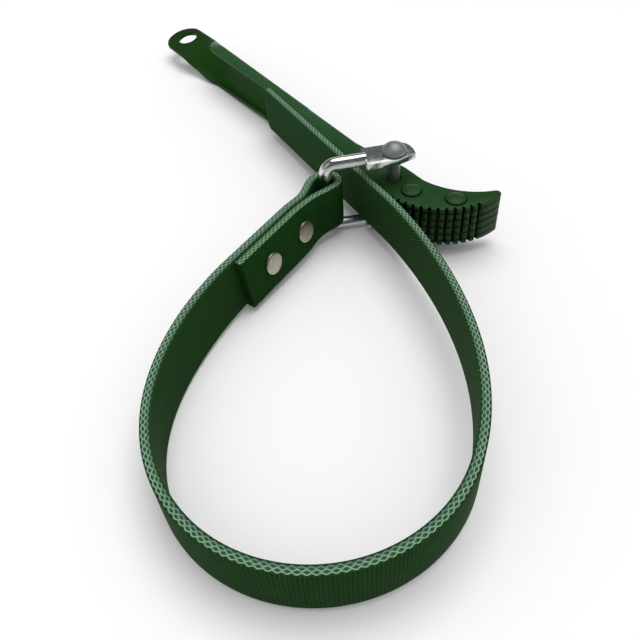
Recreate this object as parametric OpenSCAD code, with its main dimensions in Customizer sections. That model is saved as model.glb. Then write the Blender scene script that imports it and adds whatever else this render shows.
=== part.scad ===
// Strap wrench for oil filters: a pressed channel handle with a toothed crescent jaw, a wire bail
// on a pivot pin, and a belt riveted round the bail and threaded back between bail and pin.
// The origin is the centre of the hang hole, +X runs along the handle to the jaw, +Z along the pin.

/* [Handle] */
// Height of the channel over its two flanges, at the jaw
handle_h = 22; // [18:0.5:26]
// Height of the channel at its other end, next to the turned tab
grip_h = 26.6; // [22:0.2:28]
// Depth of the channel at its tab end, from the web's back to the flange edges
channel_d = 9; // [7:0.5:12]
// Thickness of the pressed sheet
sheet_t = 2.6; // [2:0.1:3.2]
// Outside radius of the bends between web and flanges
bend_r = 2.4; // [1.5:0.1:2.6]
// Length from the hang hole to the pivot pin
pin_x = 233.6; // [180:0.1:320]
// Width of the flat tab at the end of the handle
tab_w = 25.5; // [22:0.5:30]
// Radius of the hang hole
hang_hole_r = 6.6; // [4:0.1:8]
// Length before the pin over which the flanges widen towards the jaw
widen_l = 115; // [110:1:135]
// Distance that the web's back leans in where the channel meets the jaw
web_in = 3.6; // [0:0.2:5]
// Length over which the channel is turned into the flat tab
turn_l = 40; // [30:1:70]
// Angle of the tab from level, in degrees
tab_tilt = 10; // [0:1:20]
// Distance of the tab's middle behind the channel's middle
tab_off = 2.8; // [0:0.1:4]

/* [Jaw] */
// Radius of the toothed outside of the jaw
jaw_r = 38.2; // [34:0.2:46]
// Radius of the hollow back of the jaw
back_r = 39.7; // [36:0.1:46]
// Number of teeth
tooth_count = 12; // [8:1:14]
// Angle from one tooth to the next, in degrees
tooth_step = 6.3; // [5:0.1:7]
// Depth of the teeth
tooth_d = 1.9; // [1:0.1:2.5]
// Radius of the jaw rivets' shanks
jaw_rivet_r = 2.6; // [2:0.1:3]
// Radius of the jaw rivets' heads
jaw_head_r = 5.1; // [4.5:0.1:5.8]
// Height of the jaw rivets' heads
jaw_head_h = 1.5; // [1:0.1:2.5]

/* [Pivot and bail] */
// Radius of the pivot pin
pin_r = 3.2; // [2.5:0.1:3.6]
// Free travel of the jaw up and down the pin
jaw_play = 12; // [8:0.5:16]
// Radius of the domed head of the pin
pin_head_r = 6.2; // [5.5:0.1:7]
// Height of the domed head of the pin
pin_head_h = 4.8; // [3:0.1:6]
// Radius of the bail's wire
wire_r = 3.25; // [2.6:0.05:3.5]
// Distance from the pivot pin to the bail's crossbar
bail_l = 35.1; // [32:0.1:43]
// Direction from the pivot pin to the crossbar, in degrees from +X
bail_angle = 244.6; // [242:0.2:250]
// Radius of the wire's bends, at its centre line
wire_bend_r = 5; // [4:0.2:6]
// Thickness of the flattened eyes at the bail's ends
eye_t = 3.2; // [2.5:0.1:3.6]
// Width of the flattened eyes
eye_w = 14.6; // [13:0.2:16]
// Length of the flattened eyes from the pin towards the wire
eye_l = 15.5; // [14.5:0.5:18]

/* [Strap] */
// Width of the belt
strap_w = 25; // [20:0.5:25.5]
// Thickness of the belt
strap_t = 4.2; // [3:0.1:4.6]
// Inside radius of the belt's round front
loop_r = 58.1; // [50:0.1:75]
// Length from the crossbar to the end of the riveted flap
flap_l = 71.7; // [64:0.1:80]
// Distance from the crossbar to the first belt rivet
rivet_at = 26.3; // [22:0.1:30]
// Distance between the two belt rivets
rivet_gap = 26.6; // [20:0.1:30]
// Length of the free tail beyond the bail
tail_l = 89; // [60:1:140]
// Radius of the belt rivets' heads
strap_head_r = 5.5; // [4.5:0.1:6.5]
// Height of the belt rivets' heads
strap_head_h = 1.4; // [1:0.1:2]
// Radius of the belt rivets' posts
strap_post_r = 2.2; // [1.8:0.1:2.6]

/* [Clearances] */
// Gap all round a rivet in its hole
rivet_clear = 0.08; // [0.05:0.01:0.15]
// Running gap all round the pin in the bail's eyes
eye_clear = 0.06; // [0.03:0.01:0.1]
// Gap all round the pin in the jaw's oversize hole
jaw_clear = 0.7; // [0.5:0.1:1]
// Gap between the jaw's underside and the lower eye
seat_gap = 0.3; // [0.2:0.05:0.5]
// Gap all round the crossbar inside the belt's eye
bar_clear = 0.9; // [0.8:0.1:1]
// Gap between the two layers of the belt, and between the belt and the lower arm
belt_gap = 0.3; // [0.2:0.05:0.5]

/* [Hidden] */

$fn = 64;

green = [0.14, 0.29, 0.15];
belt_green = [0.11, 0.21, 0.10];
plated = [0.75, 0.76, 0.76];
nickel = [0.62, 0.61, 0.55];

// Heights, measured from the middle of the handle
top_z = handle_h / 2;
plate_count = 4;
plate_t = (handle_h - 2 * sheet_t) / plate_count;
low_eye_z = -top_z - seat_gap - eye_t / 2;
high_eye_z = top_z + jaw_play + eye_t / 2;

// The belt's lower edge stands high enough to clear the inside of the wire's lower bend
bend_in = wire_bend_r - wire_r;
bend_reach = max(0, bend_in - bar_clear + 2 * belt_gap);
bend_rise = bend_in - sqrt(bend_in * bend_in - bend_reach * bend_reach);
strap_z = low_eye_z + wire_r + max(belt_gap, bend_rise);

// The pivot pin stands where the jaw's cheeks reach out over the open side of the channel
pin_out = 1;
pin_y = -tab_off - channel_d / 2 - pin_out;
pin_hole_r = pin_r + jaw_clear;

// The web stops this far short of the pin, and the inner plates fill the jaw from there on.
// Its back comes out again to a third of its lean by then.
web_stop = 14;
stop_in = web_in / 3;
plate_start = web_stop - seat_gap;

// The tab is flat for this length past the hang hole, and the turn starts there. Its round end is
// struck from a point beyond the hole, and its middle lies nearer the open side than the hole.
tab_flat = 12;
tab_end = 1.2;
tab_in = 1.75;
// Halfway through the turn the section is narrower and lower, so that the handle's sides look straight
turn_dip = 2.5;
turn_sag = 1.9;
// The taller end of the channel stands this much lower
grip_drop = 0.6;
// The flat plate ends inside the turn, and lies a hair inside its faces
tab_t = sheet_t - 0.02;
tab_r = tab_w / 2 - 0.01;
// The flanges start and reach their depth at these parts of the turn
flange_from = 0.42;
flange_full = 0.85;
turn_rings = 16;
tab_steps = 36;
bend_steps = 5;
channel_start = tab_flat + turn_l;
channel_y = (channel_d - sheet_t) / 2 - tab_off;
flange_least = 0.3;

// Jaw outline about the pivot pin: the toothed arc, the hollow back and the tip between them
jaw_centre = [7.2, jaw_r - 12.5];
tip_angle = 5;
tooth_end = -12;
arc_start = -100;
back_centre = [5.9, back_r + 9.3];
back_start = -27;
back_end = -82;
cheek_run = 36;
taper_end = cheek_run + 2;
// The flanges' edges run along the back of the tail, which lies at this angle
tail_angle = 173.6;
function rim_y(x) = pin_out - max(0, widen_l + x) * tan(180 - tail_angle);
first_rivet = [14.4, -0.7];
second_rivet = [33.6, 11];

// Points along a circular arc, and along a cubic curve
function arc(c, r, a0, a1, n) =
    [for (i = [0:n]) let (a = a0 + (a1 - a0) * i / n) c + r * [cos(a), sin(a)]];
function curve(p, n) =
    [for (i = [0:n]) let (t = i / n, s = 1 - t)
        s * s * s * p[0] + 3 * s * s * t * p[1] + 3 * s * t * t * p[2] + t * t * t * p[3]];
function unit(v) = v / norm(v);
function left(v) = [-v[1], v[0]];
function tail_of(v, k) = [for (i = [k:len(v) - 1]) v[i]];
function smooth(t) = t * t * (3 - 2 * t);

// Handle

// One half of the bent sheet's section: outer bend, flange edge and inner corner, about its middle
function half_section(h, f, side) =
    let (outer = arc([side * (h / 2 - bend_r), bend_r], bend_r, -90, -90 + side * 90, bend_steps),
         inner_x = side * (h / 2 - sheet_t))
    concat(outer, [[side * h / 2, sheet_t + f], [inner_x, sheet_t + f], [inner_x, sheet_t]]);
function reversed(v) = [for (i = [len(v) - 1:-1:0]) v[i]];
// The whole section runs from the first bend across the web to the other flange
function sheet_section(h, f) = concat(half_section(h, f, 1), reversed(half_section(h, f, -1)));

// The section set at a place along the handle, with t from 0 at the tab to 1 at the channel
function set_section(x, t) =
    let (k = smooth(t),
         a = tab_tilt + (90 - tab_tilt) * k,
         across = [cos(a), sin(a)],
         out = [-sin(a), cos(a)],
         halfway = 4 * k * (1 - k),
         tab_middle = -tab_in * (1 - k) * [cos(tab_tilt), sin(tab_tilt)],
         middle = tab_middle + [k * channel_y, -turn_sag * halfway - grip_drop * k],
         h = tab_w + (grip_h - tab_w) * k - turn_dip * halfway,
         grown = min(1, max(0, (t - flange_from) / (flange_full - flange_from))),
         f = flange_least + (channel_d - sheet_t - flange_least) * smooth(grown))
    [for (p = sheet_section(h, f))
        let (q = middle + p[0] * across + (p[1] - sheet_t / 2) * out) [x, q[0], q[1]]];

// The channel's section at a place before the pin, for a taper from 0 at the jaw to 1 at the turn
// and a lean of the web's back
function channel_section(x, taper, lean) =
    let (back = channel_y + sheet_t / 2 - lean,
         depth = back - pin_y - rim_y(x),
         h = handle_h + (grip_h - handle_h) * taper)
    [for (p = sheet_section(h, depth - sheet_t))
        [pin_x + x, back - p[1], p[0] - grip_drop * taper]];

// Triangles that close a sheet section: two fans about the inner corners and the web between them
corner_a = bend_steps + 3;
corner_b = corner_a + 1;
section_n = 2 * (bend_steps + 4);
section_cap = concat([for (i = [0:corner_a - 2]) [corner_a, i, i + 1]],
                     [for (i = [corner_b + 1:section_n - 2]) [corner_b, i, i + 1]],
                     [[0, corner_a, corner_b], [0, corner_b, section_n - 1]]);
function flipped(f) = [f[0], f[2], f[1]];

// A solid through a row of sheet sections
module loft(rings) {
    n = section_n;
    last = len(rings) - 1;
    sides = [for (r = [0:last - 1], i = [0:n - 1])
        let (a = r * n + i, b = r * n + (i + 1) % n) each [[a, b + n, b], [a, a + n, b + n]]];
    start_cap = section_cap;
    end_cap = [for (f = section_cap) flipped(f) + last * n * [1, 1, 1]];
    polyhedron([for (r = rings) each r], concat(sides, start_cap, end_cap), convexity = 6);
}

// The flat round tab, the turn from it into the channel, and the channel down to its height at the jaw
module turned_channel() {
    steps = [for (i = [0:turn_rings]) i / turn_rings];
    turn = [for (t = steps) set_section(tab_flat + turn_l * t, t)];
    at_widening = (widen_l - taper_end) / (pin_x - taper_end - channel_start);
    channel = [channel_section(-widen_l, at_widening, web_in * (1 - at_widening)),
               channel_section(-taper_end, 0, web_in),
               channel_section(-web_stop, 0, stop_in)];
    difference() {
        union() {
            rotate([tab_tilt, 0, 0])
                translate([0, 0, -tab_t / 2])
                    linear_extrude(tab_t)
                        polygon(concat(arc([-tab_end, -tab_in], tab_r, 90, 270, tab_steps),
                                       [[tab_flat - 2, -tab_in - tab_r], [tab_flat - 2, tab_r - tab_in]]));
            loft(concat([set_section(hang_hole_r + 2.3, 0)], turn, channel));
        }
        rotate([tab_tilt, 0, 0])
            cylinder(r = hang_hole_r, h = 2 * tab_w, center = true);
    }
}

// Each tooth is a crest and a groove cut towards the centre of the toothed arc
function tooth(i) =
    let (a = tooth_end - (tooth_count - i) * tooth_step, c = jaw_centre)
    concat(arc(c, jaw_r, a, a + tooth_step * 0.5, 2), arc(c, jaw_r - tooth_d, a + tooth_step * 0.68,
        a + tooth_step * 0.82, 1));
function toothed_arc() =
    concat(arc(jaw_centre, jaw_r, arc_start, tooth_end - tooth_count * tooth_step - 1, 4),
           [for (i = [0:tooth_count - 1]) each tooth(i)],
           arc(jaw_centre, jaw_r, tooth_end, tip_angle, 5));

// The cheek's outline: the flange's edge, a curve out to the teeth, the tip and the hollow back
function cheek_outline() =
    let (back = pin_out + channel_d,
         stop_back = back - stop_in,
         run_back = back - web_in + 0.1,
         first = jaw_centre + jaw_r * [cos(arc_start), sin(arc_start)],
         into = left([cos(arc_start), sin(arc_start)]),
         hollow = arc(back_centre, back_r, back_start, back_end, 14),
         outer_tip = jaw_centre + jaw_r * [cos(tip_angle), sin(tip_angle)],
         tip = curve([outer_tip, outer_tip + [0.2, 2.4], hollow[0] + [1.6, 1.5], hollow[0]], 5))
    concat(curve([[-cheek_run, rim_y(-cheek_run)], [-24, rim_y(-24)], first - 10 * into, first], 8),
           tail_of(toothed_arc(), 1), tail_of(tip, 1), tail_of(hollow, 1),
           [[-2, back], [-web_stop, stop_back], [-web_stop - bend_r, stop_back - bend_r - 0.3],
            [-cheek_run, run_back - bend_r]]);

module at_pin() {
    translate([pin_x, pin_y, 0]) children();
}

module jaw_holes() {
    cylinder(r = pin_hole_r, h = 4 * handle_h, center = true);
    for (p = [first_rivet, second_rivet])
        translate(p)
            cylinder(r = jaw_rivet_r + rivet_clear, h = 4 * handle_h, center = true);
}

module cheek(z) {
    at_pin()
        translate([0, 0, z])
            linear_extrude(sheet_t)
                polygon(cheek_outline());
}

module handle_channel() {
    color(green)
        difference() {
            union() {
                turned_channel();
                cheek(top_z - sheet_t);
                cheek(-top_z);
            }
            at_pin() jaw_holes();
        }
}

// Inner plates fill the height between the cheeks, counted from below
module jaw_plate(i) {
    color(green)
        at_pin()
            difference() {
                translate([0, 0, -top_z + sheet_t + (i - 1) * plate_t])
                    linear_extrude(plate_t)
                        intersection() {
                            polygon(cheek_outline());
                            translate([-plate_start, -2 * jaw_r])
                                square(4 * jaw_r);
                        }
                jaw_holes();
            }
}

// A flat head with its upper edge broken, standing on the plane z = 0
module flat_head(r, h) {
    edge = 0.4 * h;
    cylinder(r = r, h = h - edge);
    translate([0, 0, h - edge]) cylinder(r1 = r, r2 = r - edge, h = edge);
}

// A low domed head standing on the plane z = 0
module dome(r, h) {
    ball = (r * r + h * h * 0.49) / (1.4 * h);
    edge = 0.3 * h;
    cylinder(r = r, h = edge);
    intersection() {
        translate([0, 0, edge]) cylinder(r = r, h = h);
        translate([0, 0, h - ball]) sphere(r = ball, $fn = 96);
    }
}

module jaw_rivet(place) {
    color(green)
        at_pin()
            translate(place) {
                cylinder(r = jaw_rivet_r, h = handle_h + 0.2, center = true);
                for (side = [0, 1])
                    mirror([0, 0, side])
                        translate([0, 0, top_z + rivet_clear]) dome(jaw_head_r, jaw_head_h);
            }
}

// Pivot pin and bail

tail_head_r = 5.2;
tail_head_h = 2.2;

module pivot_pin() {
    high = high_eye_z + eye_t / 2 + eye_clear;
    low = low_eye_z - eye_t / 2 - eye_clear;
    color(plated)
        at_pin() {
            translate([0, 0, low - 0.1]) cylinder(r = pin_r, h = high - low + 0.2);
            translate([0, 0, high]) dome(pin_head_r, pin_head_h);
            translate([0, 0, low]) mirror([0, 0, 1]) dome(tail_head_r, tail_head_h);
        }
}

// The flattened eye: one sharp corner at its end, the other side rounded off
eye_end = 9.8;
// The round wire starts this far inside the flattened length
shoulder = 1;
function eye_outline() =
    let (w = eye_w / 2,
         corner = [-eye_end, 0.55 * w],
         round_side = [-0.3 * eye_end, -w])
    concat([[eye_l, w], [0, w]],
           curve([corner, corner - [0.3, w], round_side - [0.5 * eye_end, 0], round_side], 10),
           [[eye_l, -w]]);

// One arm of the bail, from the eye over its shoulder and wire to the quarter bend
module bail_arm(side) {
    straight = bail_l - wire_bend_r;
    translate([0, 0, -eye_t / 2]) linear_extrude(eye_t) polygon(eye_outline());
    translate([eye_l - shoulder, 0, 0])
        rotate([0, 90, 0])
            cylinder(r = wire_r, h = straight - eye_l + shoulder);
    translate([straight, 0, side * wire_bend_r])
        rotate([90, 0, 0])
            rotate([0, 0, side > 0 ? -90 : 0])
                rotate_extrude(angle = 90)
                    translate([wire_bend_r, 0]) circle(r = wire_r);
}

module bail() {
    color(plated)
        at_pin()
            rotate(bail_angle)
                difference() {
                    union() {
                        translate([0, 0, low_eye_z]) bail_arm(1);
                        translate([0, 0, high_eye_z]) bail_arm(-1);
                        translate([bail_l, 0, low_eye_z + wire_bend_r])
                            cylinder(r = wire_r, h = high_eye_z - low_eye_z - 2 * wire_bend_r);
                    }
                    cylinder(r = pin_r + eye_clear, h = 8 * handle_h, center = true);
                }
}

// Strap

// The belt's two layers leave the crossbar along this line, measured about the pivot pin
bar = bail_l * [cos(bail_angle), sin(bail_angle)];
strand_angle = -70.3;
along = [cos(strand_angle), sin(strand_angle)];
inward = left(along);
layer = (strap_t + belt_gap) / 2;
eye_r = wire_r + bar_clear + strap_t / 2;
join_at = rivet_at - strap_head_r - 0.5;
function strand(s, t) = bar + s * along + t * inward;

// Middle line of the belt: flap, eye round the crossbar, loop, and the run past the pin
front_r = loop_r + strap_t / 2;
front_near = [36.2, -61.3];
front_centre = front_near + [loop_r, -loop_r];
front_from = 275;
front_to = 390.6;
past_pin = [13.7, -17.3];
tail_way = [cos(tail_angle), sin(tail_angle)];
tail_from = past_pin + 36 * tail_way;
// The eye hugs the crossbar round to the flap, and bulges out on the loop's side
wrap = 105;
wrap_out = 76;

function on_front(a) = front_centre + front_r * [cos(a), sin(a)];
function round_bar(a) = bar + eye_r * [cos(strand_angle + a), sin(strand_angle + a)];

function eye_path() =
    let (first = round_bar(180 - wrap),
         last = round_bar(180 + wrap_out),
         pull = join_at * 0.45)
    concat([strand(flap_l, layer)],
           curve([strand(join_at, layer), strand(join_at - pull, layer),
                  first - pull * left(unit(first - bar)), first], 8),
           tail_of(arc(bar, eye_r, strand_angle + 180 - wrap, strand_angle + 180 + wrap_out, 20), 1),
           tail_of(curve([last, last + pull * left(unit(last - bar)),
                          strand(join_at - pull, -layer), strand(join_at, -layer)], 8), 1));

function loop_path() =
    let (start = strand(flap_l + 1, -layer),
         a = on_front(front_from),
         b = on_front(front_to),
         a_way = left(unit(a - front_centre)),
         b_way = left(unit(b - front_centre)))
    concat(curve([start, start + 20 * along, a - 56 * a_way, a], 30),
           tail_of(arc(front_centre, front_r, front_from, front_to, 36), 1),
           tail_of(curve([b, b + 65 * b_way, past_pin - 16 * tail_way, past_pin], 28), 1));

// A band of the belt's thickness to both sides of a path
function way_at(p, i) = unit(p[min(i + 1, len(p) - 1)] - p[max(i - 1, 0)]);
function side_line(p, d) = [for (i = [0:len(p) - 1]) p[i] + d * left(way_at(p, i))];
module band(path) {
    polygon(concat(side_line(path, strap_t / 2), reversed(side_line(path, -strap_t / 2))));
}

module at_rivets() {
    for (i = [0, 1]) at_rivet(i) children();
}
// Places a rivet's axis through both layers, with +Z towards the inside of the loop
module at_rivet(i) {
    p = strand(rivet_at + i * rivet_gap, 0);
    translate([p[0], p[1], strap_z + strap_w / 2])
        rotate([0, 90, strand_angle + 90])
            children();
}

module strap() {
    color(belt_green)
        at_pin()
            difference() {
                translate([0, 0, strap_z])
                    linear_extrude(strap_w)
                        band(concat(eye_path(), loop_path(), [tail_from]));
                at_rivets()
                    cylinder(r = strap_post_r + rivet_clear, h = 4 * strap_t, center = true);
            }
}

module strap_tail() {
    color(belt_green)
        at_pin()
            translate([0, 0, strap_z])
                linear_extrude(strap_w)
                    band([tail_from + belt_gap * tail_way, tail_from + tail_l * tail_way]);
}

stub_r = 1.2;
stub_l = 3;
face_out = strap_t + belt_gap / 2 + rivet_clear;

// The post's head lies on the flap inside the loop, and its hollow end takes the cap's stub
module strap_rivet_post(i) {
    color(nickel)
        at_pin()
            at_rivet(i)
                difference() {
                    union() {
                        translate([0, 0, face_out]) flat_head(strap_head_r, strap_head_h);
                        translate([0, 0, -face_out]) cylinder(r = strap_post_r, h = 2 * face_out + 0.1);
                    }
                    translate([0, 0, -face_out - 1])
                        cylinder(r = stub_r + rivet_clear, h = stub_l + 1.3);
                }
}

module strap_rivet_cap(i) {
    color(nickel)
        at_pin()
            at_rivet(i)
                translate([0, 0, -face_out])
                    mirror([0, 0, 1]) {
                        flat_head(strap_head_r, strap_head_h);
                        translate([0, 0, -stub_l]) cylinder(r = stub_r, h = stub_l + 0.1);
                    }
}

handle_channel();
jaw_plate(1);  // jaw_plate_1
jaw_plate(2);  // jaw_plate_2
jaw_plate(3);  // jaw_plate_3
jaw_plate(4);  // jaw_plate_4
jaw_rivet(first_rivet);  // jaw_rivet_1
jaw_rivet(second_rivet);  // jaw_rivet_2
pivot_pin();
bail();
strap();
strap_tail();
strap_rivet_post(0);  // strap_rivet_post_1
strap_rivet_post(1);  // strap_rivet_post_2
strap_rivet_cap(0);  // strap_rivet_cap_1
strap_rivet_cap(1);  // strap_rivet_cap_2
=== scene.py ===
import math

import bmesh
import bpy
import numpy as np
from mathutils import Matrix, Vector


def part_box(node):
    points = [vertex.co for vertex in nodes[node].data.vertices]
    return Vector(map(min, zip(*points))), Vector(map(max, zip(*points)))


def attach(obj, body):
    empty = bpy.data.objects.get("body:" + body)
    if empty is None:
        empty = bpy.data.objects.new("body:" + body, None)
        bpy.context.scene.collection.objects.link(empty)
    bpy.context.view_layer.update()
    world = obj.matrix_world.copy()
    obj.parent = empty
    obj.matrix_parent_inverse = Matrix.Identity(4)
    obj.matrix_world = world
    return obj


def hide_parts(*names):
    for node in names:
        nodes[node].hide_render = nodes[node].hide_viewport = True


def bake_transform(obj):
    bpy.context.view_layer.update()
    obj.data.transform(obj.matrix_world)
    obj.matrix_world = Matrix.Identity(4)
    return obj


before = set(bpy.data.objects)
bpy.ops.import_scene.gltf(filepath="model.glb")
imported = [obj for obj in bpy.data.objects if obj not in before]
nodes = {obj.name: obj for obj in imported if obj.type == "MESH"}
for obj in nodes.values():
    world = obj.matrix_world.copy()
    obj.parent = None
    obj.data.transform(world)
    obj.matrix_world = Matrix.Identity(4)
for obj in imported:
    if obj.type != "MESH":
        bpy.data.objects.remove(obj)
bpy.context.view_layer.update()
scene = bpy.context.scene
scene.view_settings.view_transform = "Standard"

# Sizes shared with the part, in millimetres and degrees
MM = 0.001
PIN = np.array([233.6, -8.3])
HANDLE_H, GRIP_H, GRIP_DROP, CHANNEL_D, SHEET_T, BEND_R = 22.0, 26.6, 0.6, 9.0, 2.6, 2.4
TAB_W, TAB_FLAT, TAB_END, TAB_IN, TAB_TILT, TAB_OFF = 25.5, 12.0, 1.2, 1.75, 10.0, 2.8
HOLE_R, TURN_L, TURN_DIP, TURN_SAG, TAPER_END = 6.6, 40.0, 2.5, 1.9, 195.6
FLANGE_FROM, LOW_FROM, FLANGE_FULL, WIDEN_FROM, WEB_IN = 0.42, 0.24, 0.85, 118.6, 3.6
JAW_CENTRE, JAW_R, JAW_PLATES = np.array([7.2, 25.7]), 38.2, 4
JAW_RIVETS, JAW_HEAD_R = np.array([[14.4, -0.7], [33.6, 11.0]]), 5.1
BAIL_L, BAIL_ANGLE, WIRE_R, BAR_CLEAR = 35.1, 244.6, 3.25, 0.9
BELT_W, BELT_T, BELT_GAP = 25.0, 4.2, 0.3
STRAND_ANGLE, FLAP_L, RIVET_AT, RIVET_GAP = -70.3, 71.7, 26.3, 26.6
RIVET_R, RIVET_H = 5.5, 1.4
LOOP_R, FRONT_NEAR, FRONT_FROM, FRONT_TO = 58.1, np.array([36.2, -61.3]), 275.0, 390.6
PAST_PIN, TAIL_ANGLE, TAIL_FROM, TAIL_L = np.array([13.7, -17.3]), 173.6, 36.0, 89.0

# Sizes of the visual model alone: the strand's lean, the rivets' clearance, the dish inside the channel and
# its least sizes, the angle up to which edges are shaded smooth, and the weld of the part's meshes in metres
STRAND_LEAN, RIVET_CLEAR = 2.0, 0.02
DISH_RISE, DISH_W, DISH_TO, DISH_FADE = 0.42, 4.5, 105, 45
HAIR, LEAST_FLANGE = 0.002, 0.02
SMOOTH_TO = 50
NODE_WELD = 2e-6


# Plane geometry

def heading(angle):
    a = math.radians(angle)
    return np.array([math.cos(a), math.sin(a)])


def left(v):
    return np.array([-v[1], v[0]])


def unit(v):
    return v / np.linalg.norm(v)


def ease(t):
    t = np.clip(t, 0, 1)
    return t * t * (3 - 2 * t)


def arc(centre, r, a0, a1, n):
    return [centre + r * heading(a0 + (a1 - a0) * i / n) for i in range(n + 1)]


def curve(p, n):
    t = np.linspace(0, 1, n + 1)[:, None]
    s = 1 - t
    return list(s**3 * p[0] + 3 * s * s * t * p[1] + 3 * s * t * t * p[2] + t**3 * p[3])


def evenly(points, step):
    """Points at even steps along a line through the given points, and the length run at each."""
    p = np.array(points)
    run = np.concatenate([[0], np.cumsum(np.linalg.norm(np.diff(p, axis=0), axis=1))])
    s = np.linspace(0, run[-1], int(run[-1] / step) + 1)
    return np.stack([np.interp(s, run, p[:, 0]), np.interp(s, run, p[:, 1])], 1), s


def rounded(points, radii, n):
    """A closed outline with each corner rounded, with n + 1 points to a corner."""
    out = []
    for i, p in enumerate(points):
        a, b = points[i - 1] - p, points[(i + 1) % len(points)] - p
        reach = min(radii[i], 0.45 * np.linalg.norm(a), 0.45 * np.linalg.norm(b))
        a, b = p + reach * unit(a), p + reach * unit(b)
        out += [(1 - t)**2 * a + 2 * t * (1 - t) * p + t * t * b for t in np.linspace(0, 1, n + 1)]
    return np.array(out)


# Mesh helpers

def ring_mesh(name, rings, close_rows=False):
    """A mesh through rings of points, closed by two end faces or round on itself."""
    rings = np.array(rings, float)
    m, n = rings.shape[:2]
    rows = m if close_rows else m - 1
    faces = [(r * n + i, r * n + (i + 1) % n, (r + 1) % m * n + (i + 1) % n, (r + 1) % m * n + i)
             for r in range(rows) for i in range(n)]
    if not close_rows:
        faces += [tuple(range(n))[::-1], tuple((m - 1) * n + i for i in range(n))]
    mesh = bpy.data.meshes.new(name)
    mesh.from_pydata((rings.reshape(-1, 3) * MM).tolist(), [], faces)
    return mesh


def shade(mesh, angle):
    """Shades a mesh smooth, with the edges sharper than an angle left crisp."""
    mesh.polygons.foreach_set("use_smooth", [True] * len(mesh.polygons))
    mesh.set_sharp_from_angle(angle=math.radians(angle))


def welded(mesh, reach):
    """An editable copy of a mesh, with points nearer to each other than reach, in metres, made one."""
    bm = bmesh.new()
    bm.from_mesh(mesh)
    bmesh.ops.remove_doubles(bm, verts=bm.verts, dist=reach)
    return bm


def merge_flat(bm):
    """Merges faces that lie in one plane."""
    bmesh.ops.dissolve_limit(bm, angle_limit=math.radians(0.6), verts=bm.verts, edges=bm.edges)


def finished(bm, name):
    mesh = bpy.data.meshes.new(name)
    bm.to_mesh(mesh)
    bm.free()
    return mesh


def joined(name, *meshes):
    """One mesh with its faces turned outwards, from closed meshes."""
    bm = bmesh.new()
    for m in meshes:
        bm.from_mesh(m)
    bmesh.ops.recalc_face_normals(bm, faces=bm.faces)
    return finished(bm, name)


def rounded_node(node, width, segments=2, from_x=None, plain_z=()):
    """A copy of a CAD node's mesh with its sharp edges rounded over.

    Only the part beyond from_x is kept, and edges at the heights in plain_z stay sharp."""
    sharp_from, near = math.radians(28), 0.02
    bm = welded(nodes[node].data, NODE_WELD)
    if from_x is not None:
        cut = bmesh.ops.bisect_plane(bm, geom=bm.verts[:] + bm.edges[:] + bm.faces[:], dist=1e-6,
                                     plane_co=(from_x * MM, 0, 0), plane_no=(1, 0, 0), clear_inner=True)
        bmesh.ops.holes_fill(bm, edges=[e for e in cut["geom_cut"] if isinstance(e, bmesh.types.BMEdge)])
    merge_flat(bm)

    def plain(e):
        zs = [v.co.z / MM for v in e.verts]
        return any(all(abs(z - p) < near for z in zs) for p in plain_z)

    sharp = [e for e in bm.edges if len(e.link_faces) == 2 and e.calc_face_angle(0) > sharp_from
             and not plain(e)]
    bmesh.ops.bevel(bm, geom=sharp, offset=width * MM, offset_type="OFFSET", segments=segments, profile=0.5,
                    affect="EDGES", clamp_overlap=True)
    return finished(bm, node)


def add_piece(name, mesh, materials, body, slot, *replaced):
    for m in materials:
        mesh.materials.append(m)
    obj = bpy.data.objects.new(name, mesh)
    scene.collection.objects.link(obj)
    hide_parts(*replaced)
    if body:
        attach(obj, body)
    return obj


# Material helpers

def new_material(name):
    m = bpy.data.materials.new(name)
    m.use_nodes = True
    t = m.node_tree
    return m, t, next(x for x in t.nodes if x.type == "BSDF_PRINCIPLED")


def number(t, operation, a, b=None):
    x = t.nodes.new("ShaderNodeMath")
    x.operation = operation
    for socket, v in zip(x.inputs, (a, b)):
        if isinstance(v, (int, float)):
            socket.default_value = v
        elif v is not None:
            t.links.new(v, socket)
    return x.outputs[0]


def noise(t, place, scale, detail=3.0):
    x = t.nodes.new("ShaderNodeTexNoise")
    x.inputs["Scale"].default_value = scale
    x.inputs["Detail"].default_value = detail
    t.links.new(place, x.inputs["Vector"])
    return x.outputs[0]


def spread(t, value, low, high, to_low=0.0, to_high=1.0):
    x = t.nodes.new("ShaderNodeMapRange")
    t.links.new(value, x.inputs[0])
    for socket, v in zip(x.inputs[1:5], (low, high, to_low, to_high)):
        socket.default_value = v
    return x.outputs[0]


def blend_colour(t, factor, a, b):
    x = t.nodes.new("ShaderNodeMix")
    x.data_type = "RGBA"
    t.links.new(factor, x.inputs[0])
    for socket, v in zip(x.inputs[6:8], (a, b)):
        if isinstance(v, tuple):
            socket.default_value = (*v, 1)
        else:
            t.links.new(v, socket)
    return x.outputs[2]


def bump(t, shader, height, strength, distance):
    x = t.nodes.new("ShaderNodeBump")
    x.inputs["Strength"].default_value = strength
    x.inputs["Distance"].default_value = distance * MM
    t.links.new(height, x.inputs["Height"])
    t.links.new(x.outputs[0], shader.inputs["Normal"])


def wave(t, value, period, phase=0.0):
    turns = number(t, "ADD", number(t, "MULTIPLY", value, 2 * math.pi / period), phase)
    return number(t, "SINE", turns)


def flat_distance(t, place, centre):
    x = t.nodes.new("ShaderNodeVectorMath")
    x.operation = "DISTANCE"
    t.links.new(place, x.inputs[0])
    x.inputs[1].default_value = (*(centre * MM), 0)
    return x.outputs["Value"]


def parts_of(t, vector):
    x = t.nodes.new("ShaderNodeSeparateXYZ")
    t.links.new(vector, x.inputs[0])
    return x.outputs


def object_place(t):
    return t.nodes.new("ShaderNodeTexCoord").outputs["Object"]


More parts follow.
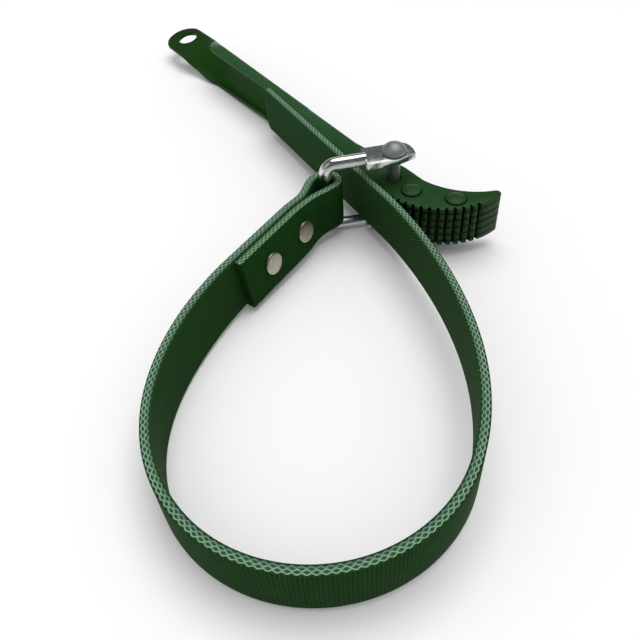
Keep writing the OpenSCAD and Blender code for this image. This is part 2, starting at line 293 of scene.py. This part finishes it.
def belt_place(t):
    """The place on the belt: its map, the length along it, and the distance across it."""
    x = t.nodes.new("ShaderNodeUVMap")
    x.uv_map = "belt"
    parts = parts_of(t, x.outputs[0])
    return x.outputs[0], parts[0], parts[1]


def seen_directly(t):
    """One where the camera, a reflection or a view through glass sees the surface, else zero."""
    path = t.nodes.new("ShaderNodeLightPath").outputs
    return number(t, "MAXIMUM", path["Is Camera Ray"],
                  number(t, "MAXIMUM", path["Is Glossy Ray"], path["Is Transmission Ray"]))


# Materials

ENAMEL = (0.0125, 0.052, 0.0115)

# Lengths along the belt over which its ribs come in, its wear comes and goes, and its free end begins
RIBS_COME, WEAR_COMES, WEAR_GOES, FREE_END = (170, 300), (300, 420), (610, 570), (590, 630)
YARN_PERIOD, RIB_PERIOD, WEAVE_PERIOD, WEAVE_SLANT = 3.0, 1.5, 2.1, 1.5


def tooth_groove_shade(t, flat, steep):
    """Painted shade in the grooves between the jaw's teeth, on faces that stand upright."""
    from_jaw = flat_distance(t, flat, PIN + JAW_CENTRE)
    upright = spread(t, steep, 0.7, 0.4)
    deep = spread(t, from_jaw, (JAW_R - 0.05) * MM, (JAW_R - 1.2) * MM)
    near = spread(t, from_jaw, (JAW_R - 3.0) * MM, (JAW_R - 2.6) * MM)
    return number(t, "MULTIPLY", number(t, "MULTIPLY", upright, near), deep)


def layer_line_shade(t, at, steep):
    """Painted shade where the jaw's layers meet, from just before the pin on."""
    cheek = HANDLE_H / 2 - SHEET_T
    layer = 2 * cheek / JAW_PLATES * MM
    to_line = number(t, "PINGPONG", number(t, "ADD", at[2], 2 * JAW_PLATES * layer), layer / 2)
    line = number(t, "MULTIPLY", spread(t, to_line, 0.95 * MM, 0.2 * MM, 0.0, 0.95),
                  spread(t, at[0], (PIN[0] - 14) * MM, (PIN[0] - 13) * MM))
    height = number(t, "ABSOLUTE", at[2])
    line = number(t, "MULTIPLY", line, spread(t, height, (cheek + 0.8) * MM, (cheek + 0.5) * MM))
    return number(t, "MULTIPLY", line, spread(t, steep, 0.99, 0.95))


def rivet_ring_shade(t, flat, rivet):
    """Painted shade round a rivet's head."""
    away = number(t, "SUBTRACT", flat_distance(t, flat, PIN + rivet), (JAW_HEAD_R + 0.1) * MM)
    return spread(t, number(t, "ABSOLUTE", away), 0.75 * MM, 0.2 * MM, 0.0, 0.8)


def green_paint():
    """Gloss enamel, with painted shade in the jaw's grooves, between its layers and round its rivets, and a
    painted sheen on top of the handle.
    """
    m, t, s = new_material("green_paint")
    place = object_place(t)
    at = parts_of(t, place)
    facing = parts_of(t, t.nodes.new("ShaderNodeNewGeometry").outputs["Normal"])
    steep = number(t, "ABSOLUTE", facing[2])
    flat = t.nodes.new("ShaderNodeVectorMath")
    flat.operation = "MULTIPLY"
    t.links.new(place, flat.inputs[0])
    flat.inputs[1].default_value = (1, 1, 0)
    flat = flat.outputs[0]
    painted_shade = number(t, "MAXIMUM", tooth_groove_shade(t, flat, steep), layer_line_shade(t, at, steep))
    for rivet in JAW_RIVETS:
        painted_shade = number(t, "MAXIMUM", painted_shade, rivet_ring_shade(t, flat, rivet))
    # Painted sheen: the top of the handle's flange, which faces up to the light, is painted lighter
    top = HANDLE_H / 2
    wear_and_sheen = number(t, "MULTIPLY", spread(t, at[2], (top - 1.2) * MM, (top - 0.4) * MM, 0.0, 0.8),
                  spread(t, at[0], 200 * MM, 160 * MM))
    colour = blend_colour(t, spread(t, noise(t, place, 60, 4), 0.3, 0.7), ENAMEL, (0.017, 0.066, 0.016))
    colour = blend_colour(t, wear_and_sheen, colour, (0.024, 0.086, 0.029))
    # Painted shade: the grooves, layer lines and rivet rings are painted near black
    t.links.new(blend_colour(t, painted_shade, colour, (0.0015, 0.004, 0.0015)), s.inputs["Base Color"])
    t.links.new(spread(t, noise(t, place, 260), 0.3, 0.7, 0.24, 0.36), s.inputs["Roughness"])
    s.inputs["Specular IOR Level"].default_value = 0.09
    bump(t, s, noise(t, place, 700, 2), 0.10, 0.2)
    return m


def dish_paint_shaded():
    """The enamel inside the channel and on top of the tab, with painted shade: darker and more olive than
    outside, and darkest on the tab.
    """
    m, t, s = new_material("dish_paint_shaded")
    place = object_place(t)
    along = parts_of(t, place)[0]
    # Painted shade: darkest on the tab, growing lighter from 15 to 50 mm along the handle
    colour = blend_colour(t, spread(t, along, 15 * MM, 50 * MM),
                          (0.0105, 0.042, 0.0035), (0.0165, 0.074, 0.0055))
    colour = blend_colour(t, spread(t, noise(t, place, 70, 4), 0.3, 0.7, 0.0, 0.35), colour, ENAMEL)
    t.links.new(colour, s.inputs["Base Color"])
    t.links.new(spread(t, noise(t, place, 260), 0.3, 0.7, 0.34, 0.46), s.inputs["Roughness"])
    s.inputs["Specular IOR Level"].default_value = 0.04
    bump(t, s, noise(t, place, 700, 2), 0.10, 0.2)
    return m


def bright_plate():
    m, t, s = new_material("bright_plate")
    place = object_place(t)
    s.inputs["Metallic"].default_value = 1.0
    colour = blend_colour(t, spread(t, noise(t, place, 120, 4), 0.35, 0.7),
                          (0.70, 0.72, 0.71), (0.56, 0.58, 0.56))
    t.links.new(colour, s.inputs["Base Color"])
    t.links.new(spread(t, noise(t, place, 420, 4), 0.3, 0.7, 0.13, 0.26), s.inputs["Roughness"])
    bump(t, s, noise(t, place, 900, 2), 0.06, 0.15)
    return m


def satin_plate():
    """The pin's duller plating, mottled by handling."""
    m, t, s = new_material("satin_plate")
    place = object_place(t)
    s.inputs["Metallic"].default_value = 1.0
    mottle = number(t, "MULTIPLY", noise(t, place, 500, 4), noise(t, place, 1600, 3))
    colour = blend_colour(t, spread(t, mottle, 0.12, 0.4), (0.25, 0.26, 0.25), (0.46, 0.48, 0.46))
    t.links.new(colour, s.inputs["Base Color"])
    t.links.new(spread(t, mottle, 0.1, 0.4, 0.48, 0.62), s.inputs["Roughness"])
    bump(t, s, mottle, 0.2, 0.25)
    return m


def rivet_nickel():
    m, t, s = new_material("rivet_nickel")
    place = object_place(t)
    s.inputs["Metallic"].default_value = 1.0
    colour = blend_colour(t, spread(t, noise(t, place, 300, 4), 0.3, 0.7),
                          (0.47, 0.45, 0.36), (0.37, 0.35, 0.28))
    t.links.new(colour, s.inputs["Base Color"])
    t.links.new(spread(t, noise(t, place, 900), 0.3, 0.7, 0.26, 0.42), s.inputs["Roughness"])
    bump(t, s, noise(t, place, 1500), 0.10, 0.12)
    return m


def belt_edge():
    """The cut edge, with zig-zag yarns of three plies along it."""
    m, t, s = new_material("belt_edge")
    place, run, through = belt_place(t)
    yarns = None
    for at, phase, light in ((-1.15, 0.0, 1.0), (-0.05, math.pi, 0.95), (0.95, 0.4, 0.5)):
        middle = number(t, "ADD", number(t, "MULTIPLY", wave(t, run, YARN_PERIOD, phase), 0.30), at)
        off = number(t, "ABSOLUTE", number(t, "SUBTRACT", through, middle))
        yarn = spread(t, off, 0.36, 0.10, 0.0, light)
        yarns = yarn if yarns is None else number(t, "MAXIMUM", yarns, yarn)
    fuzz = spread(t, noise(t, place, 1.1, 4), 0.25, 0.75, 0.5, 1.0)
    yarns = number(t, "MULTIPLY", yarns, fuzz)
    border = spread(t, number(t, "ABSOLUTE", through), 1.2, 1.6)
    ground = blend_colour(t, noise(t, place, 2.2), (0.012, 0.056, 0.022), (0.026, 0.098, 0.045))
    ground = blend_colour(t, border, ground, (0.006, 0.018, 0.009))
    t.links.new(blend_colour(t, yarns, ground, (0.33, 0.51, 0.35)), s.inputs["Base Color"])
    s.inputs["Roughness"].default_value = 0.7
    s.inputs["Specular IOR Level"].default_value = 0.2
    bump(t, s, yarns, 0.6, 0.3)
    return m


def belt_outer():
    """The coated outside, with faint ribs across the belt."""
    m, t, s = new_material("belt_outer")
    place, run, _ = belt_place(t)
    ribs = wave(t, number(t, "ADD", run, number(t, "MULTIPLY", noise(t, place, 0.25, 2), 0.6)), RIB_PERIOD)
    grain = noise(t, place, 3.0)
    patch = spread(t, noise(t, place, 0.16, 4), 0.3, 0.7)
    # The ribs come through where the loop is bent, not on the riveted flap
    ribs = number(t, "MULTIPLY", ribs, spread(t, run, *RIBS_COME, 0.0, 1.0))
    shown = number(t, "MULTIPLY", spread(t, ribs, -1, 1), spread(t, patch, 0, 1, 0.45, 1.0))
    t.links.new(blend_colour(t, shown, (0.009, 0.041, 0.006), (0.021, 0.080, 0.018)), s.inputs["Base Color"])
    t.links.new(spread(t, grain, 0.3, 0.7, 0.50, 0.66), s.inputs["Roughness"])
    s.inputs["Specular IOR Level"].default_value = 0.02
    bump(t, s, number(t, "ADD", number(t, "MULTIPLY", ribs, 0.8), grain), 0.3, 0.12)
    return m


def belt_inner():
    """The inside, where the slanting lines of the weave show."""
    m, t, s = new_material("belt_inner")
    place, run, up = belt_place(t)
    weave = wave(t, number(t, "ADD", run, number(t, "MULTIPLY", up, WEAVE_SLANT)), WEAVE_PERIOD)
    # The coating is worn down to the weave on the side that runs to the pin, and whole elsewhere
    wear_and_sheen = number(t, "MULTIPLY", spread(t, run, *WEAR_COMES, 0.2, 1.0),
                  spread(t, run, *WEAR_GOES, 0.1, 1.0))
    weave = number(t, "MULTIPLY", weave, wear_and_sheen)
    grain = noise(t, place, 2.0)
    knots = number(t, "MULTIPLY", spread(t, weave, -0.5, 0.8), spread(t, grain, 0.3, 0.7, 0.6, 1.0))
    colour = blend_colour(t, knots, (0.0095, 0.037, 0.0065), (0.037, 0.112, 0.031))
    # The free end has seen less oil
    colour = blend_colour(t, spread(t, run, *FREE_END, 0.0, 0.9), colour, (0.018, 0.066, 0.018))
    t.links.new(colour, s.inputs["Base Color"])
    t.links.new(spread(t, grain, 0.3, 0.7, 0.55, 0.72), s.inputs["Roughness"])
    s.inputs["Specular IOR Level"].default_value = 0.03
    bump(t, s, weave, 0.4, 0.15)
    return m


paint, dish = green_paint(), dish_paint_shaded()
bright, satin, nickel = bright_plate(), satin_plate(), rivet_nickel()
edge, outer, inner = belt_edge(), belt_outer(), belt_inner()


# Belt: one strip through flap, eye, loop and tail

BAR = BAIL_L * heading(BAIL_ANGLE)
ALONG = heading(STRAND_ANGLE)
INWARD = left(ALONG)
TAIL_WAY = heading(TAIL_ANGLE)
BELT_MIDDLE = (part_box("strap")[0].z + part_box("strap")[1].z) / 2 / MM


def strand(s, t):
    return BAR + s * ALONG + t * INWARD


def belt_line():
    """The belt's middle line about the pivot pin, and the length run at each of its points."""
    layer = (BELT_T + BELT_GAP) / 2
    eye_r = WIRE_R + BAR_CLEAR + BELT_T / 2
    before_rivet, eye_pull, wrap, step = 0.5, 0.45, (75, 256), 0.8
    leave_strand, meet_front, leave_front, meet_pin = 20, 56, 65, 16
    join_at = RIVET_AT - RIVET_R - before_rivet
    pull = join_at * eye_pull
    first, last = (BAR + eye_r * heading(STRAND_ANGLE + a) for a in wrap)
    front_r = LOOP_R + BELT_T / 2
    centre = FRONT_NEAR + np.array([LOOP_R, -LOOP_R])
    a, b = centre + front_r * heading(FRONT_FROM), centre + front_r * heading(FRONT_TO)
    start = strand(FLAP_L + 1, -layer)
    line = [strand(FLAP_L, layer)]
    line += curve([strand(join_at, layer), strand(join_at - pull, layer),
                   first - pull * left(unit(first - BAR)), first], 24)
    line += arc(BAR, eye_r, STRAND_ANGLE + wrap[0], STRAND_ANGLE + wrap[1], 60)[1:]
    line += curve([last, last + pull * left(unit(last - BAR)),
                   strand(join_at - pull, -layer), strand(join_at, -layer)], 24)[1:]
    line += curve([start, start + leave_strand * ALONG, a - meet_front * left(unit(a - centre)), a], 60)
    line += arc(centre, front_r, FRONT_FROM, FRONT_TO, 120)[1:]
    line += curve([b, b + leave_front * left(unit(b - centre)),
                   PAST_PIN - meet_pin * TAIL_WAY, PAST_PIN], 60)[1:]
    line += [PAST_PIN + (TAIL_FROM + TAIL_L) * TAIL_WAY]
    return evenly(line, step)


def belt_lean(line, run):
    """How far the top edge leans out at each place.

    The riveted strand leans, and the eye and the loop stand upright."""
    lean_from, lean_over, upright_from, upright_over, eye_at = 6, 24, 190, 90, 85
    in_strand = ease(((line - BAR) @ ALONG - lean_from) / lean_over)
    lean = STRAND_LEAN * in_strand * (1 - ease((run - upright_from) / upright_over))
    return lean * np.where(run < eye_at, 1.0, -1.0)


def make_belt():
    line, run = belt_line()
    way = np.gradient(line, axis=0)
    way /= np.linalg.norm(way, axis=1)[:, None]
    side = np.stack([-way[:, 1], way[:, 0]], 1)
    lean = belt_lean(line, run)
    half_t, half_w = BELT_T / 2, BELT_W / 2
    corners = [np.array((x * half_t, y * half_w)) for x, y in ((1, 1), (-1, 1), (-1, -1), (1, -1))]
    per_corner, corner_r = 4, 0.45
    section = rounded(corners, [corner_r] * 4, per_corner - 1)
    m, n = len(line), len(section)
    end_r = 5.0
    rings = np.zeros((m, n, 3))
    for i in range(m):
        inset = max(0.0, end_r - (run[-1] - run[i]))
        low = -half_w + end_r - math.sqrt(end_r**2 - inset**2)
        up = np.maximum(section[:, 1], low)
        across = section[:, 0] + lean[i] * up / half_w
        rings[i, :, :2] = PIN + line[i] + across[:, None] * side[i]
        rings[i, :, 2] = BELT_MIDDLE + up
    mesh = joined("belt", ring_mesh("strip", rings))
    uv = mesh.uv_layers.new(name="belt")
    # After each of the four corners comes a face: the top edge, the outside, the lower edge and the inside
    inside, outside, cut = range(3)
    at_corner, after_corner = (inside, outside, outside, inside), (cut, outside, cut, inside)
    for p in mesh.polygons:
        rows = {v // n for v in p.vertices}
        columns = sorted({v % n for v in p.vertices})
        cap = len(rows) == 1
        column = n - 1 if columns == [0, n - 1] else columns[0]
        flat = column % per_corner == per_corner - 1
        kind = outside if cap else (after_corner if flat else at_corner)[column // per_corner]
        p.material_index = kind
        p.use_smooth = not cap
        for k in p.loop_indices:
            row, column = divmod(mesh.loops[k].vertex_index, n)
            through, up = section[column]
            uv.data[k].uv = (up, through) if cap else (run[row], through if kind == cut else up)
    belt = add_piece("belt", mesh, (inner, outer, edge), None, "belt", "strap", "strap_tail")
    # Sizes of a bend on both sides of the hinge, its direction turned from the tail's so that the eye beside
    # the hinge would stay before the start; the belt is not bent with them here
    bend_turn, bend_reach = 35, (-8.8, 9.5)
    across = heading(TAIL_ANGLE - bend_turn)
    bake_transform(belt)


def rivet_head(name, place, axis, node):
    """A flat plated head with a rounded edge, standing on the belt."""
    r, h = RIVET_R, RIVET_H
    profile = [(0.02, 0.0), (r - 0.15, 0.0), (r, 0.15), (r, h - 0.55), (r - 0.12, h - 0.25),
               (r - 0.45, h - 0.06), (r - 0.9, h), (r * 0.5, h + 0.05), (0.02, h + 0.07)]
    around = [heading(a) for a in np.linspace(0, 360, 64, endpoint=False)]
    mesh = joined(name, ring_mesh(name, [[(*(q * c), z) for c in around] for q, z in profile]))
    turn_to = Vector(axis).to_track_quat("Z", "Y").to_matrix().to_4x4()
    mesh.transform(Matrix.Translation(Vector(place) * MM) @ turn_to)
    shade(mesh, 40)
    add_piece(name, mesh, (nickel,), "strap", "rivet_nickel", node)


def make_rivets():
    face = BELT_T + BELT_GAP / 2 + RIVET_CLEAR
    tilt = STRAND_LEAN / (BELT_W / 2)
    axis = np.array([*INWARD, tilt])
    for i in (1, 2):
        at = PIN + strand(RIVET_AT + (i - 1) * RIVET_GAP, 0)
        for side, word, node in ((1, "inside", "post"), (-1, "outside", "cap")):
            place = (*(at + side * face * INWARD), BELT_MIDDLE)
            rivet_head(f"belt_rivet_{word}_{i}", place, side * axis, f"strap_rivet_{node}_{i}")


# Handle: the tab with its hole, the turn into the channel, and the cheeks

CORNER_STEPS, FLANGE_START = 5, TAB_FLAT + FLANGE_FROM * TURN_L

# Points round the section between which it is the inside of the channel
INSIDE_FROM, INSIDE_TO = 3 * (CORNER_STEPS + 1) - 1, 7 * (CORNER_STEPS + 1)


def sheet_section(h, f, low_f, hollow):
    """The bent sheet's section about its middle, with the flanges standing up by f and low_f.

    With hollow at 1 the inside is dished between web and flange, and at 0 its corner is plain."""
    x, t = h / 2, SHEET_T
    half, low = ([(x, 0), (x, t + d), (x - t, t + d),
                  (x - t, t + max(LEAST_FLANGE, DISH_RISE * d) * hollow + HAIR),
                  (x - t - DISH_W * hollow - HAIR, t)] for d in (f, low_f))
    points = [np.array(p) for p in half + [(-a, b) for a, b in low[::-1]]]
    edge_r, bend_in = 0.6, 2.6
    radii = [BEND_R, edge_r, edge_r, bend_in, bend_in]
    return rounded(points, radii + radii[::-1], CORNER_STEPS)


def placed_section(x, t):
    """The section at a place along the handle, with t from 0 at the tab to 1 at the channel."""
    k = ease(t)
    halfway = 4 * k * (1 - k)
    taper = np.clip((TAPER_END - x) / (TAPER_END - TAB_FLAT - TURN_L), 0, 1)
    across = heading(TAB_TILT + (90 - TAB_TILT) * k)
    out = left(across)
    lean = WEB_IN * (1 - taper)
    widened = max(0.0, x - WIDEN_FROM) * math.tan(math.radians(180 - TAIL_ANGLE))
    middle = np.array([k * ((CHANNEL_D - SHEET_T) / 2 - TAB_OFF) - lean,
                       -TURN_SAG * halfway - GRIP_DROP * taper * k])
    middle -= TAB_IN * (1 - k) * heading(TAB_TILT)
    h = TAB_W + (HANDLE_H + (GRIP_H - HANDLE_H) * taper - TAB_W) * k - TURN_DIP * halfway
    deep = CHANNEL_D - SHEET_T - lean + widened
    f, low_f = (LEAST_FLANGE + deep * ease((t - start) / (FLANGE_FULL - start))
                for start in (FLANGE_FROM, LOW_FROM))
    hollow = 1 - ease((x - DISH_TO) / DISH_FADE)
    section = sheet_section(h, f, low_f, hollow)
    return [(x, *(middle + p[0] * across + (p[1] - SHEET_T / 2) * out)) for p in section]


def tab_reach(w):
    """How far the tab reaches from the hang hole in a direction, and if that is its end at the turn."""
    half = TAB_W / 2
    side = ((half if w[1] > 0 else -half) - TAB_IN) / w[1] if abs(w[1]) > 1e-9 else math.inf
    if w[0] > 0 and TAB_FLAT / w[0] <= side + 1e-9:
        return TAB_FLAT / w[0], True
    if side * w[0] >= -TAB_END:
        return side, False
    along = w @ np.array([-TAB_END, -TAB_IN])
    return along + math.sqrt(along**2 - TAB_END**2 - TAB_IN**2 + half**2), False


def tab_mesh():
    """The flat tab: a closed sheet round the hang hole, meeting the turn in a plane."""
    corners = {math.degrees(math.atan2(y - TAB_IN, TAB_FLAT)) % 360 for y in (-TAB_W / 2, TAB_W / 2)}
    z, rim, flat, edge_r = SHEET_T / 2, 0.4, 0.3, 0.6
    rings = []
    for a in sorted(set(np.linspace(0, 360, 120, endpoint=False)) | corners):
        w = heading(a)
        reach, at_turn = tab_reach(w)
        soft = 0.0 if at_turn else edge_r
        profile = [(HOLE_R, -z + rim), (HOLE_R, z - rim), (HOLE_R + 0.3 * rim, z - 0.3 * rim),
                   (HOLE_R + rim, z), (HOLE_R + rim + flat, z), (reach - soft - flat, z),
                   (reach - soft, z), (reach - 0.3 * soft, z - 0.3 * soft), (reach, z - soft),
                   (reach, -z + 2 * soft), (reach - 0.3 * soft, -z + 0.5 * soft), (reach - 1.6 * soft, -z),
                   (reach - 1.6 * soft - flat, -z), (HOLE_R + rim + flat, -z),
                   (HOLE_R + rim, -z), (HOLE_R + 0.3 * rim, -z + 0.3 * rim)]
        rings.append([(q * w[0], q * w[1], h) for q, h in profile])
    ring_weld = 1e-6
    mesh = finished(welded(ring_mesh("tab_rings", rings, close_rows=True), ring_weld), "tab_sheet")
    # Faces on top of the tab take the dish enamel with its painted shade
    for p in mesh.polygons:
        p.material_index = int(p.normal.z > 0.5)
    mesh.transform(Matrix.Rotation(math.radians(TAB_TILT), 4, "X"))
    return mesh


def make_handle():
    seam = 150.0
    in_channel = (80, DISH_TO, WIDEN_FROM, 130, 140, seam)
    stations = [(TAB_FLAT + TURN_L * t, t) for t in np.linspace(0, 1, 61)]
    stations += [(x, 1.0) for x in in_channel]
    turned = ring_mesh("turn", [placed_section(x, t) for x, t in stations])
    around = 10 * (CORNER_STEPS + 1)
    for p in turned.polygons:
        columns = sorted({v % around for v in p.vertices})
        margin = CORNER_STEPS + 1 if p.center.x < FLANGE_START * MM else 0
        inside = INSIDE_FROM - margin <= columns[0] and columns[-1] <= INSIDE_TO + margin
        # Faces inside the channel take the dish enamel with its painted shade
        p.material_index = int(len(p.vertices) == 4 and inside)
    rest = rounded_node("handle_channel", width=0.45, segments=3, from_x=seam,
                        plain_z=(HANDLE_H / 2 - SHEET_T, SHEET_T - HANDLE_H / 2))
    mesh = joined("handle", joined("tab", tab_mesh()), joined("turn", turned), rest)
    shade(mesh, SMOOTH_TO)
    add_piece("handle", mesh, (paint, dish), "handle", "green_paint", "handle_channel")


# Jaw, pin and bail

def layer_mesh(node):
    """A jaw plate with the outline's edges rounded over above and below."""
    bm = welded(nodes[node].data, NODE_WELD)
    merge_flat(bm)
    for side in (1, -1):
        bm.normal_update()
        flat = [f for f in bm.faces if side * f.normal.z > 0.99]
        rim = {v for f in flat for e in f.edges
               if any(abs(g.normal.z) < 0.5 for g in e.link_faces) for v in e.verts}
        for inset, drop in ((0.25, 0.8), (0.55, 0.25)):
            ring = bmesh.ops.inset_region(bm, faces=flat, thickness=inset * MM, depth=0, use_boundary=True,
                                          use_even_offset=True)["faces"]
            for v in rim:
                v.co.z -= side * drop * MM
            rim = {v for f in ring for v in f.verts} - rim
    return finished(bm, node)


def make_jaw():
    for i in range(1, JAW_PLATES + 1):
        mesh = layer_mesh(f"jaw_plate_{i}")
        shade(mesh, SMOOTH_TO)
        add_piece(f"jaw_layer_{i}", mesh, (paint,), "handle", "green_paint", f"jaw_plate_{i}")
    for i in (1, 2):
        mesh = rounded_node(f"jaw_rivet_{i}", width=0.3)
        shade(mesh, SMOOTH_TO)
        add_piece(f"jaw_rivet_painted_{i}", mesh, (paint,), "handle", "green_paint", f"jaw_rivet_{i}")


def make_pivot():
    for node, body, plating in (("pivot_pin", "pivot", satin), ("bail", "bail", bright)):
        mesh = rounded_node(node, width=0.4, segments=3)
        shade(mesh, SMOOTH_TO)
        add_piece(f"{node}_plated", mesh, (plating,), body, "bright_plate", node)


make_belt()
make_rivets()
make_handle()
make_jaw()
make_pivot()


# Floor: the plane that the pin's lower end, the front of the belt and the handle stand on

def make_floor():
    pin = Vector((*(PIN * MM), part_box("pivot_pin")[0].z))
    low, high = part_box("strap")
    front = Vector((high.x - LOOP_R * MM, low.y, low.z))
    end = Vector((TAB_FLAT + TURN_L, -TAB_OFF, -GRIP_H / 2 - GRIP_DROP)) * MM
    normal = (end - pin).cross(front - pin).normalized()
    normal = normal if normal.z > 0 else -normal
    mesh = bpy.data.meshes.new("floor")
    half = 6
    corners = [(x * half, y * half, 0) for x, y in ((-1, -1), (1, -1), (1, 1), (-1, 1))]
    mesh.from_pydata(corners, [], [(0, 1, 2, 3)])
    m, t, s = new_material("floor")
    pale = blend_colour(t, noise(t, object_place(t), 3, 2), (0.96, 0.96, 0.96), (0.97, 0.97, 0.97))
    t.links.new(blend_colour(t, seen_directly(t), (0.34, 0.34, 0.34), pale), s.inputs["Base Color"])
    s.inputs["Roughness"].default_value = 0.9
    s.inputs["Specular IOR Level"].default_value = 0.1
    mesh.materials.append(m)
    floor = bpy.data.objects.new("floor", mesh)
    scene.collection.objects.link(floor)
    hair_below = 0.0002
    upright = normal.to_track_quat("Z", "Y").to_matrix().to_4x4()
    floor.matrix_world = Matrix.Translation(pin - normal * hair_below) @ upright


# Light

def make_world():
    world = bpy.data.worlds.new("studio")
    scene.world = world
    world.use_nodes = True
    t = world.node_tree
    t.nodes.clear()
    height = parts_of(t, t.nodes.new("ShaderNodeTexCoord").outputs["Generated"])[2]
    shown, lit = t.nodes.new("ShaderNodeBackground"), t.nodes.new("ShaderNodeBackground")
    t.links.new(blend_colour(t, spread(t, height, 0.02, 0.25), (1.0, 1.0, 1.0), (0.12, 0.13, 0.13)),
                shown.inputs[0])
    lit.inputs[0].default_value = (1, 1, 1, 1)
    lit.inputs[1].default_value = 0.58
    both, out = t.nodes.new("ShaderNodeMixShader"), t.nodes.new("ShaderNodeOutputWorld")
    t.links.new(seen_directly(t), both.inputs[0])
    t.links.new(lit.outputs[0], both.inputs[1])
    t.links.new(shown.outputs[0], both.inputs[2])
    t.links.new(both.outputs[0], out.inputs[0])


def lamp(name, kind, place, strength, **size):
    """A soft lamp that shines from a place towards the middle of the tool."""
    light = bpy.data.lights.new(name, kind)
    light.energy = strength
    for key, value in size.items():
        setattr(light, key, value)
    obj = bpy.data.objects.new(name, light)
    scene.collection.objects.link(obj)
    obj.location = place
    middle = Vector((0.25, -0.05, 0))
    obj.rotation_euler = (middle - Vector(place)).to_track_quat("-Z", "Y").to_euler()


# Camera, fitted to the photograph's view: a square frame of 640 with a focal length of 700

def make_camera():
    place = Vector((456.26, -206.56, 223.9)) * MM
    way, pitch, roll = math.radians(146.63), math.radians(46.87), 0.07803
    focal, frame_w, sensor_w = 700, 640, 36
    forward = Vector((math.cos(way) * math.cos(pitch), math.sin(way) * math.cos(pitch), -math.sin(pitch)))
    right = Vector((math.sin(way), -math.cos(way), 0))
    down = forward.cross(right)
    right, down = (math.cos(roll) * right + math.sin(roll) * down,
                   -math.sin(roll) * right + math.cos(roll) * down)
    cam = bpy.data.cameras.new("camera")
    cam.sensor_width, cam.lens = sensor_w, focal / frame_w * sensor_w
    cam.clip_start, cam.clip_end = 0.01, 50
    obj = bpy.data.objects.new("camera", cam)
    scene.collection.objects.link(obj)
    obj.matrix_world = Matrix.Translation(place) @ Matrix((right, -down, -forward)).transposed().to_4x4()
    scene.camera = obj


make_floor()
make_world()
lamp("key", "SUN", (0.10, 0.20, 0.95), 1.45, angle=math.radians(50))
lamp("fill", "AREA", (0.1, -0.8, 0.6), 0.8, size=0.8)
make_camera()
